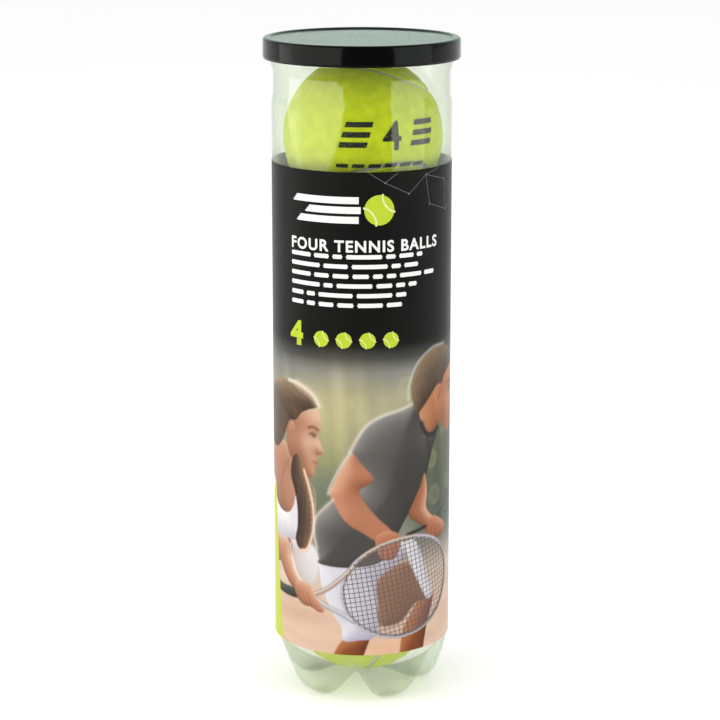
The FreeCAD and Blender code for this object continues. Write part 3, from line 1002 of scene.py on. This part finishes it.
def paint_first_player(art):
    """Player with a long tail of hair, a white vest and a racket, seen from the side."""
    sun = (0.45, 0.89)
    skin, lit, dark = "C18C6E", "F2CDB0", "8C5B45"
    skirt = [
        (-36, 70), (-33, 66), (-31, 58), (-27, 52), (-21, 54), (-18.5, 62), (-20.5, 69), (-27, 72),
    ]
    art.shape(skirt, "E5DDDD", "FFFFFF", "C3B4B2", 5, sun, 1.2)
    neck = [
        (-33, 110), (-30, 103), (-31, 97), (-30.5, 91), (-32, 84), (-36, 80), (-41, 80), (-50, 82),
        (-64, 84), (-68, 93), (-60, 104), (-46, 112),
    ]
    art.shape(neck, "B47E61", "D9A98A", "7C4F3B", 5, sun, grain=0.04 * art.mottle(22, (4, 4)))
    art.stroke([(-36, 104), (-40, 98), (-43, 92)], "8A5A44", 1.2, 0.35, 0.6)
    vest = [
        (-70, 93), (-60, 95), (-50.5, 92), (-48.3, 85.5), (-44, 82), (-39, 81), (-35.5, 81.8), (-32.6, 85),
        (-31, 90), (-29.2, 90), (-28, 80), (-28, 72), (-34, 70), (-42, 69), (-62, 67), (-73, 68), (-75, 80),
    ]
    art.shape(vest, "E4E0E4", "FFFFFF", "B9B2BC", 4, sun, grain=0.03 * art.mottle(23, (1.6, 5), 20))
    waist = [(-72, 68.6), (-42, 69), (-35, 70), (-34, 64), (-39, 60), (-60, 54), (-71, 58)]
    art.shape(waist, "9C6145", "B97B5C", "6E4130", 4, sun)
    arm = [
        (-47, 69), (-37, 69.5), (-35.2, 64), (-32, 57.5), (-28.5, 53), (-26.5, 51), (-29, 48),
        (-34, 49.5), (-39, 53.5), (-43, 58), (-48, 63),
    ]
    art.shape(arm, "C48A69", "F6D2B4", "8F5A41", 2.6, sun, grain=0.03 * art.mottle(24, (3, 3)))
    art.stroke([(-35, 68), (-34, 63), (-30.8, 56.5), (-27.3, 53)], "FFF1E2", 0.8, 0.8, 0.4)
    centre, size, tilt = (-32.8, 119.3), 37.5, -7
    paint_face(art, centre, size, tilt, skin, lit, dark, sun)
    hair = [
        (0.335, 0.335), (0.24, 0.45), (0.05, 0.515), (-0.2, 0.5), (-0.46, 0.4), (-0.62, 0.2),
        (-0.66, -0.08), (-0.56, -0.32), (-0.36, -0.36), (-0.2, -0.24), (-0.11, -0.06), (-0.06, 0.06),
        (0.05, 0.1), (0.12, 0.2), (0.22, 0.27),
    ]
    strands = 0.16 * art.mottle(25, (0.7, 9), 62) + 0.1 * art.mottle(26, (2.2, 20), 62)
    art.shape(on_head(hair, centre, size, tilt), "64503F", "B99C7E", "3A2C22", 3.4, sun, grain=strands)
    crown = [(0.345, 0.345), (0.27, 0.435), (0.16, 0.49), (0.02, 0.522), (-0.12, 0.515)]
    art.stroke(on_head(crown, centre, size, tilt), "FFF6E6", 1.3, 0.8, 0.8)
    art.stroke(on_head(crown[:4], centre, size, tilt), "F3DFC0", 3.4, 0.35, 1.6)
    tail = [
        (-33.5, 104), (-34, 98), (-31.6, 92), (-30, 85), (-30, 77), (-31.2, 71), (-28.5, 66.8),
        (-24.8, 68), (-22.2, 74), (-21.2, 80), (-21.8, 88), (-23.8, 96), (-26.4, 103), (-28.5, 107),
        (-31, 108),
    ]
    fall = 0.22 * art.mottle(27, (0.55, 16), -5) + 0.1 * art.mottle(28, (1.6, 22), -5)
    art.shape(tail, "5B483C", "A07F63", "352820", 2.4, (0.9, 0.1), grain=fall)
    glow = [(-26, 102), (-23.6, 95.5), (-21.6, 88), (-21, 80), (-22, 74), (-24.6, 68), (-28.4, 66.6)]
    art.stroke(glow, "F0A56B", 1.7, 0.6, 0.7)
    art.stroke(glow, "FFF3E0", 0.7, 0.85, 0.35)
    for number in range(9):
        start = (-23.4 + 0.12 * number, 97 - 2.4 * number)
        wisp = [start, (start[0] + 2.6, start[1] - 2.2), (start[0] + 3.2, start[1] - 5)]
        art.stroke(wisp, "FBE6CC", 0.3, 0.35, 0.25)
    grip = [(-56, 53), (-43, 49.2), (-29.5, 49.4), (-28.4, 45.6), (-39, 44.8), (-56, 47)]
    art.shape(grip, "3F433F", "6B706A", "1E211F", 1.5, (0, 1))


def paint_second_player(art):
    """Broad player in a dark polo shirt and white shorts, leaning forwards."""
    sun = (-0.72, 0.69)
    shirt_grain = 0.06 * art.mottle(31, (5, 16), 30)
    legs = (
        [(-12.9, 22), (-12.9, 22), (-7, 31), (4, 32.5), (4, 32.5), (0.3, 22), (0.3, 22)],
        [
            (16.3, 22), (16.3, 22), (17.2, 30), (19, 36), (26, 45), (35, 46), (31, 34), (28.3, 22),
            (28.3, 22),
        ],
    )
    for leg in legs:
        art.shape(leg, "94532F", "C5814F", "5F3320", 5, sun)
    shorts = [
        (-18, 66), (-18.4, 60), (-16.9, 52), (-12, 41), (-8.6, 35.5), (-7.6, 29.8), (-1, 30.3),
        (5.6, 32), (8, 44), (7, 56), (14, 62), (20, 68), (20, 72), (0, 72),
    ]
    art.shape(shorts, "DEDBE6", "FFFFFF", "B0A9BC", 6, sun, grain=0.05 * art.mottle(32, (2.5, 14), 14))
    thigh = [(7, 57), (6.6, 46), (7.5, 37), (13, 36), (18, 38), (24, 44), (33, 45.5), (27, 55), (19, 63)]
    art.shape(thigh, "8E6142", "A97A56", "6E4830", 4, sun, 0.8)
    hem = [(19, 71), (24.5, 71), (31, 55), (34.5, 46.5), (31, 44.8), (27, 51), (22, 61)]
    art.shape(hem, "EFEDF3", "FFFFFF", "C6C2CE", 3, sun, 0.6)
    torso = [
        (24.5, 131), (17.3, 128.8), (8.6, 126.5), (2.5, 122.8), (-1.8, 116.6), (-4.2, 112), (-1, 104),
        (-1, 96), (-11.5, 91), (-19, 82.8), (-20.5, 76), (-18.6, 66), (-18.2, 62.5), (-4, 62), (9, 65),
        (15, 75), (19, 82), (25, 90), (30, 100), (34, 110), (37, 116), (35, 119), (31, 119.5),
        (27, 124),
    ]
    art.shape(torso, "5A5552", "9E9A97", "42413C", 6, sun, grain=shirt_grain)
    art.glow("3F3F39", (20, 98), (9, 16), 0.55)
    art.glow("6E6964", (6, 112), (9, 8), 0.4)
    art.glow("4C4F4A", (-6, 73), (12, 8), 0.5)
    art.stroke([(30.5, 117), (31.5, 108), (29.5, 98), (26, 90)], "2E2E2A", 0.8, 0.6, 0.5)
    arm = [
        (-4.2, 111.3), (0.4, 106), (4.9, 101), (3.6, 98.6), (-0.9, 95.4), (1.6, 89.8), (7, 83.2),
        (14, 75.8), (12.5, 71.5), (7, 73), (0.2, 77.4), (-6.8, 82), (-11.8, 89.8), (-13.6, 93.6),
        (-12.3, 97), (-8.4, 104.9),
    ]
    art.shape(arm, "C48363", "F0B898", "8F583F", 4.5, sun, grain=0.03 * art.mottle(33, (4, 4)))
    for line, width in (
        ([(24.4, 131.5), (17.2, 129.3), (8.4, 127), (2.1, 123.3), (-2.3, 117), (-4.8, 112)], 1.15),
        ([(-4.8, 111.6), (-9, 105), (-13, 97), (-14.2, 93.4)], 0.95),
        ([(-12.2, 91), (-19.6, 83), (-21, 76.4), (-19.6, 69)], 0.9),
    ):
        art.stroke(line, "F4E8DC", 2 * width, 0.18, 0.9)
        art.stroke(line, "FBF1E6", 0.8 * width, 0.5, 0.6)
    neck = [
        (24.4, 132), (27, 122.5), (31, 117.6), (34.5, 117.4), (38, 120), (44, 121), (48, 128),
        (46, 137), (30, 140), (25, 138),
    ]
    art.shape(neck, "BC7A52", "E8B78F", "8A5436", 4, sun)
    centre, size, tilt = (39.5, 134), 37, -9
    paint_face(art, centre, size, tilt, "BE7D55", "DDA27A", "8C583A", (-0.2, 0.9))
    cap = [
        (0.36, 0.31), (0.25, 0.44), (0.05, 0.51), (-0.2, 0.49), (-0.42, 0.33), (-0.5, 0.08),
        (-0.46, -0.12), (-0.36, -0.26), (-0.28, -0.18), (-0.15, -0.02), (-0.07, 0.06), (0.03, 0.07),
        (0.08, 0.16), (0.2, 0.24),
    ]
    stubble = 0.12 * art.mottle(34, (0.8, 0.8)) + 0.08 * art.mottle(35, (2, 3))
    art.shape(on_head(cap, centre, size, tilt), "6B5948", "9C8468", "453729", 4.5, sun, 0.7, stubble)
    back = [(0.0, 0.53), (-0.25, 0.48), (-0.45, 0.31), (-0.53, 0.06), (-0.51, -0.12)]
    art.stroke(on_head(back, centre, size, tilt), "FFF8EC", 0.8, 0.4, 0.7)
    art.stroke([(27.2, 122), (29.5, 117.4), (34, 116), (37.5, 118)], "34322E", 2.2, 0.85, 0.7)
    far_arm = [
        (29, 100), (30.4, 92), (30, 85), (34, 80.5), (39, 78), (37, 73), (31, 74), (26, 78.5),
        (20.5, 83), (23, 89), (26.5, 95),
    ]
    art.shape(far_arm, "B27353", "F0BE9A", "7E4B35", 3, (0.8, 0.5))
    art.stroke([(20, 75), (30, 77), (37, 80), (50, 88)], "2B2A2A", 1.5, 0.9, 0.35)
    art.stroke([(30, 77.5), (37, 80.4), (50, 88.4)], "A58F80", 0.5, 0.7, 0.25)
    inside = art.edge_distance(ellipse((62, 98), (15.5, 8.5), math.radians(38), 36))
    mesh_u, mesh_v = np.mod(art.u, 1.5), np.mod(art.v, 1.5)
    strings = 1 - smooth(np.minimum(mesh_u, mesh_v), 0.1, 0.5)
    art.lay(ink("3A3A38"), 0.4 * strings * smooth(inside, 0, 0.6))
    art.lay(ink("6F655F"), 1 - smooth(np.abs(inside), 0.5, 1.0))
    fist = [(32, 79.5), (36, 80), (43, 76), (45, 73), (42, 70.5), (35, 70), (31, 72), (30.5, 76)]
    art.shape(fist, "B5714F", "E4A580", "7C4730", 2, (0.3, 0.9))
    paint_fingers(art, (34.2, 71), (3, 0.4), (-1, 4.6), "7C4730", 0.45)
    palm = [(6, 75.5), (11, 77.5), (16, 75.5), (16.5, 70), (14, 65.5), (9.5, 65), (6.5, 69)]
    art.shape(palm, "BC7758", "E0A07C", "874F38", 2, (-0.3, 0.9))
    paint_fingers(art, (8.8, 65.4), (2.3, 0), (0.4, 5.5), "7E4731", 0.45)


RACKET_CENTRE = (18.6, 52.4)
RACKET_HALF = (27.0, 21.2)
RACKET_TILT = math.radians(9)


def racket_point(along, across):
    """A point in the racket's head; along and across are 1 at its frame."""
    return turned(RACKET_CENTRE, along * RACKET_HALF[0], across * RACKET_HALF[1], RACKET_TILT)


def paint_racket(art):
    """The racket's frame and throat, and the hand that holds it."""
    inside = art.edge_distance(ellipse(RACKET_CENTRE, RACKET_HALF, RACKET_TILT, 72))
    distance = np.abs(inside)
    art.lay(ink("B9A79C"), 0.16 * smooth(inside, 0, 1))
    across = (art.u - art.v) / 2
    frame_colour = ink("B4B2BC")
    for share, code in (
        (smooth(across, -22, 6), "80726B"),
        (smooth(art.u, 30, 42) * (1 - smooth(art.v, 56, 70)), "4E4541"),
        (smooth(art.v, 62, 70) * (1 - smooth(art.u, 18, 34)), "BFA794"),
    ):
        frame_colour = frame_colour + share[..., None] * (ink(code) - frame_colour)
    art.lay(frame_colour, 1 - smooth(distance, 0.65, 1.15))
    art.lay(ink("F7F3F2"), 0.45 * (1 - smooth(np.abs(inside + 0.35), 0.1, 0.4)))
    art.lay(ink("5A504B"), 0.5 * (1 - smooth(np.abs(inside - 0.75), 0.1, 0.4)))
    lower = [(-24, 47.6), (-20.5, 47.2), (-16.4, 44.8), (-7.8, 41.2), (-3.5, 38.6)]
    upper = [(-24, 48.4), (-20.5, 49), (-15, 51.8), (-8.3, 57.4), (-3.5, 62.4)]
    for line, code in ((upper, "BCA190"), (lower, "B9BAC4")):
        art.stroke(line, "6A5F5A", 2.3, 0.55, 0.4)
        art.stroke(line, code, 1.8, 1, 0.35)
        art.stroke([(u - 0.1, v + 0.4) for u, v in line], "F6F1EE", 0.5, 0.8, 0.3)
    hand = [
        (-31.8, 51.6), (-27, 53.4), (-22.8, 52), (-20.6, 48.6), (-17, 43.8), (-16.4, 41.6), (-19, 41.2),
        (-22.4, 42.8), (-26, 42.8), (-29.2, 44.4), (-31.6, 47.6),
    ]
    art.shape(hand, "C58A6A", "F0C6A6", "8C5640", 2, (0.3, 0.9))
    paint_fingers(art, (-27.5, 43.4), (2.6, -0.4), (-2.2, 6), "8C5640", 0.5)


def make_picture():
    """The label's picture: fine in front, plainer at the back."""
    low = LABEL_BOTTOM / MM
    front = Painting(PICTURE_LEFT, PICTURE_RIGHT, low, PICTURE_TOP, 0.47)
    paint_background(front)
    paint_first_player(front)
    paint_second_player(front)
    paint_racket(front)
    paint_band(front)
    back = Painting(PICTURE_RIGHT - PICTURE_ROUND, PICTURE_LEFT, low, PICTURE_TOP, 1.2)
    paint_background(back)
    paint_band(back)
    material = painted_material()
    for name, art in (("label_picture_front", front), ("label_picture_back", back)):
        give(art.piece(name), material)


def label_strip(line, width, lift=INK_LIFT):
    """A thin printed line on the label through points (u, v) in millimetres."""
    places, faces = [], []
    for (au, av), (bu, bv) in zip(line, line[1:]):
        long = math.hypot(bu - au, bv - av)
        side = ((av - bv) / long * width / 2, (bu - au) / long * width / 2)
        steps = max(round(long / 1.5), 1)
        first = len(places)
        for step in range(steps + 1):
            u = au + (bu - au) * step / steps
            v = av + (bv - av) * step / steps
            for sign in (-1, 1):
                place = ((u + sign * side[0]) * MM, (v + sign * side[1]) * MM)
                places.append(on_label(*place, lift))
        for step in range(steps):
            low = first + 2 * step
            faces.append((low, low + 2, low + 3, low + 1))
    return places, faces


def joined(name, parts, ink_used):
    """One piece on the label from several lists of points and faces."""
    places, faces = [], []
    for part_places, part_faces in parts:
        first = len(places)
        places.extend(part_places)
        faces.extend(tuple(index + first for index in face) for face in part_faces)
    made = new_piece(name, places, faces, "can", 180)
    give(made, ink_used)


def disc_part(centre, radius, lift, segments=40):
    """A printed disc, as rings of points so that it follows the label."""
    places = [on_label(centre[0] * MM, centre[1] * MM, lift)]
    faces = []
    rings = max(round(radius / 1.2), 2)
    for ring in range(1, rings + 1):
        for segment in range(segments):
            angle = 2 * math.pi * segment / segments
            reach = radius * ring / rings
            u = centre[0] + reach * math.cos(angle)
            v = centre[1] + reach * math.sin(angle)
            places.append(on_label(u * MM, v * MM, lift))
    for segment in range(segments):
        ahead = (segment + 1) % segments
        faces.append((0, 1 + segment, 1 + ahead))
        for ring in range(rings - 1):
            low = 1 + ring * segments
            high = low + segments
            faces.append((low + segment, high + segment, high + ahead, low + ahead))
    return places, faces


def ball_icon(centre, radius, disc_parts, line_parts):
    """A small picture of a ball: a disc and two curved seam lines."""
    disc_parts.append(disc_part(centre, radius, INK_LIFT))
    for side in (-1, 1):
        arc = []
        for step in range(11):
            angle = math.radians(-52 + 104 * step / 10)
            u = side * (1.25 - 0.75 * math.cos(angle)) * radius
            v = 0.9375 * math.sin(angle) * radius
            arc.append(turned(centre, u, v, math.radians(35)))
        line_parts.append(label_strip(arc, radius * 0.13, 0.05 * MM))


def make_strings():
    """The racket's strings, each a thin printed line."""
    parts = []
    for number in range(21):
        across = -0.95 + 1.9 * number / 20
        reach = math.sqrt(1 - across * across)
        slant = 0.01 * reach * math.sin(3 * across)
        ends = [racket_point(-reach, across), racket_point(reach, across + slant)]
        parts.append(label_strip(ends, 0.26))
    for number in range(26):
        along = -0.96 + 1.92 * number / 25
        reach = math.sqrt(1 - along * along)
        ends = [racket_point(along, -reach), racket_point(along, reach)]
        parts.append(label_strip(ends, 0.26, 0.035 * MM))
    joined("label_strings", parts, ink_material("string_ink", (0.1, 0.085, 0.095)))


def make_ornaments(white, green, pale, grey):
    """Ball count icons, a flying-ball emblem and a loose net of thin lines."""
    discs, seams = [], []
    for number in range(BALLS):
        ball_icon((-17.2 + 9.8 * number, 158.9), 3.3, discs, seams)
    ball_icon((7.2, 212.6), 6.2, discs, seams)
    joined("label_ball_icons", discs, green)
    joined("label_ball_icon_seams", seams, pale)
    stripes = []
    for number, (start, end, level) in enumerate(
        ((-31, -1.2, 216.6), (-24.5, -0.4, 212.6), (-29, -1.2, 208.6))
    ):
        for strip in range(4):
            v = level - 1.05 + 0.7 * strip
            stripes.append(label_strip([(start + 0.63 * strip, v), (end, v)], 0.72))
    joined("label_speed_lines", stripes, white)
    knots = {
        "a": (3, 227.6), "b": (9.5, 223.6), "c": (20, 218.6), "d": (28.6, 225.6), "e": (31, 213.4),
        "f": (43, 209.6), "g": (51, 214), "h": (41.5, 222.4), "i": (36.5, 227.6), "j": (15, 227.6),
    }
    links = ("ab", "bc", "cd", "de", "ef", "fg", "dh", "hf", "bj", "di", "gh")
    net = [label_strip([knots[link[0]], knots[link[1]]], 0.2) for link in links]
    net += [disc_part(knots[key], 0.42, 0.04 * MM, 12) for key in "bcdefgh"]
    joined("label_net_lines", net, grey)


def make_word_bars(name, first, ends, top, pitch, thick, seed, ink_used):
    """Plain bars that stand for the small print, one for each word."""
    random = np.random.default_rng(seed)
    parts = []
    for line, end in enumerate(ends):
        level = top - pitch * line
        left = first
        while left < end - 3:
            right = min(left + random.choice((4.2, 6.8, 10.5, 14.8)), end)
            for strip in range(3):
                inset = 0.28 if strip != 1 else 0
                up = level + thick * (strip + 0.5) / 3
                line = [(left + inset, up), (right - inset, up)]
                parts.append(label_strip(line, thick / 3 + 0.01))
            left = right + 1.5
    joined(name, parts, ink_used)


# ---- studio -------------------------------------------------------------------------
def soft_box(name, azimuth, distance, height, size, radiance, colour):
    """A tall soft light that faces the can; azimuth 0 is towards the camera."""
    data = bpy.data.lights.new(name, "AREA")
    data.shape = "RECTANGLE"
    data.size, data.size_y = size
    data.energy = radiance * math.pi * size[0] * size[1]
    data.color = colour
    light = bpy.data.objects.new(name, data)
    angle = math.radians(azimuth)
    light.location = (distance * math.sin(angle), -distance * math.cos(angle), height)
    towards = Vector((0, 0, 0.14)) - light.location
    light.rotation_euler = towards.to_track_quat("-Z", "Y").to_euler()
    bpy.context.scene.collection.objects.link(light)


def make_studio():
    """Pale floor, even world light and two tall soft boxes."""
    size = 40.0
    corners = [(-size, -size, 0), (size, -size, 0), (size, size, 0), (-size, size, 0)]
    mesh = bpy.data.meshes.new("floor")
    mesh.from_pydata([(x, y, -0.0002) for x, y, _ in corners], [], [(0, 1, 2, 3)])
    floor = bpy.data.objects.new("floor", mesh)
    bpy.context.scene.collection.objects.link(floor)

    def pale(tree):
        cloud = noise_value(tree, 3, 2)
        return {"Base Color": two_colours(tree, cloud, (0.91, 0.91, 0.91), (0.93, 0.93, 0.93))}

    glow = {"Emission Color": (1, 1, 1, 1), "Emission Strength": 0.2}
    plain = {"Roughness": 0.9, "Specular IOR Level": 0.1, **glow}
    paint = principled("floor_paint", plain, pale)
    dim_front(paint.node_tree)
    give(floor, paint)
    make_world()
    soft_box("left_box", -66, 1.3, 0.42, (2.5, 1.5), 1.75, (1, 0.97, 0.93))
    soft_box("right_box", 62, 1.3, 0.42, (1.24, 1.5), 1.5, (0.97, 1, 0.98))
    bpy.context.scene.view_settings.view_transform = "Standard"


def dim_front(tree):
    """What surfaces mirror of the floor before the can is dim, as with a dark studio card."""
    out = next(node for node in tree.nodes if node.type == "OUTPUT_MATERIAL")
    paint = out.inputs["Surface"].links[0].from_socket
    place = add_node(tree, "ShaderNodeNewGeometry")
    parts = add_node(tree, "ShaderNodeSeparateXYZ", {0: place.outputs["Position"]})
    front = ranged(tree, parts.outputs["Y"], 0, 1, -0.05, -0.3)
    paths = add_node(tree, "ShaderNodeLightPath")
    share = reckon(tree, "MULTIPLY", front, paths.outputs["Is Glossy Ray"])
    dim = add_node(tree, "ShaderNodeEmission", {"Strength": 0.1})
    whole = two_shaders(tree, share, paint, dim.outputs[0])
    tree.links.new(whole, out.inputs["Surface"])


def make_world():
    """White backdrop; what surfaces mirror is bright behind the can and dim before it."""
    world = bpy.data.worlds.new("studio")
    world.use_nodes = True
    tree = world.node_tree
    tree.nodes.clear()
    place = add_node(tree, "ShaderNodeTexCoord")
    parts = add_node(tree, "ShaderNodeSeparateXYZ", {0: place.outputs["Generated"]})
    depth = ranged(tree, parts.outputs["Y"], 0.1, 0.95, -0.3, 0.75)
    paths = add_node(tree, "ShaderNodeLightPath")
    seen = add_node(tree, "ShaderNodeMix", {"Factor": paths.outputs["Is Camera Ray"], 2: 0.84, 3: 1.0})
    mirrored = paths.outputs["Is Glossy Ray"]
    strength = add_node(tree, "ShaderNodeMix", {"Factor": mirrored, 2: seen.outputs[0], 3: depth})
    colour = two_colours(tree, mirrored, (1, 1, 1), (0.82, 1, 0.9))
    sky = add_node(tree, "ShaderNodeBackground", {"Color": colour, "Strength": strength.outputs[0]})
    out = add_node(tree, "ShaderNodeOutputWorld")
    tree.links.new(sky.outputs[0], out.inputs["Surface"])
    bpy.context.scene.world = world


def make_camera():
    """The camera stands a little above the cap and looks down at the can's middle."""
    distance, above_lid, aim_height = 1.0, 0.1, 0.1421
    data = bpy.data.cameras.new("camera")
    data.sensor_width = 36
    data.lens = 121.4
    data.shift_x = -0.0024
    camera = bpy.data.objects.new("camera", data)
    camera.location = (0, -distance, cad_high("lid") + above_lid)
    towards = Vector((0, 0, aim_height)) - camera.location
    camera.rotation_euler = towards.to_track_quat("-Z", "Y").to_euler()
    bpy.context.scene.collection.objects.link(camera)
    bpy.context.scene.camera = camera


# ---- build --------------------------------------------------------------------------
make_studio()
make_camera()
make_tube()
make_lid()
make_film()

felt = felt_material("felt", (0.41, 0.49, 0.001), (0.6, 0.68, 0.006))
fuzz_felt = felt_material("fuzz", (0.52, 0.6, 0.006), (0.72, 0.78, 0.04))
black_ink = ink_material("ball_ink", (0.012, 0.012, 0.012))
for number in range(1, BALLS + 1):
    make_ball(number, felt, fuzz_felt, black_ink)

rubber = grained_material(
    "ball_rubber", (0.03, 0.029, 0.027), (0.07, 0.066, 0.06), (500, 5, 0.65), (0.4, 0.0003), 0.7
)
sealant = grained_material(
    "sealant", (0.34, 0.29, 0.2), (0.5, 0.44, 0.33), (1500, 3), (0.3, 0.0001), 0.7, False
)
seam = grained_material(
    "ball_seam", (0.36, 0.38, 0.3), (0.58, 0.6, 0.5), (900, 4, 0.6), (0.5, 0.0003), 0.75
)
end_metal = aluminium_material("end_metal", (0.62, 0.63, 0.64), (0.78, 0.78, 0.78), 0.24)
tab_metal = aluminium_material("tab_metal", (0.5, 0.51, 0.53), (0.66, 0.67, 0.69), 0.3)
kept_nodes = {"sealing_compound": sealant, "pull_tab": tab_metal}
for node in ("seam_ring", "tear_panel", "tab_rivet"):
    kept_nodes[node] = end_metal
for number in range(1, BALLS + 1):
    kept_nodes[f"ball_{number}_seam"] = seam
    kept_nodes[f"ball_{number}_core_lower"] = rubber
    kept_nodes[f"ball_{number}_core_upper"] = rubber
for node, material in kept_nodes.items():
    give(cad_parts[node], material)

white_ink = ink_material("white_ink", (0.7, 0.7, 0.69))
green_ink = ink_material("green_ink", (0.4, 0.5, 0.03))
pale_ink = ink_material("pale_ink", (0.6, 0.66, 0.3))
grey_ink = ink_material("grey_ink", (0.14, 0.14, 0.14))
make_picture()
make_strings()
make_lettering(white_ink, green_ink)
make_ornaments(white_ink, green_ink, pale_ink, grey_ink)
make_word_bars("label_small_print", -32.4, (27, 25, 33.8, 24, 19, 20.5), 192.6, 4.0, 1.75, 8, white_ink)
back_ends = [-96 + 5 * (line % 3) for line in range(12)]
make_word_bars("label_back_print", -140, back_ends, 214, 3.4, 1.2, 9, white_ink)
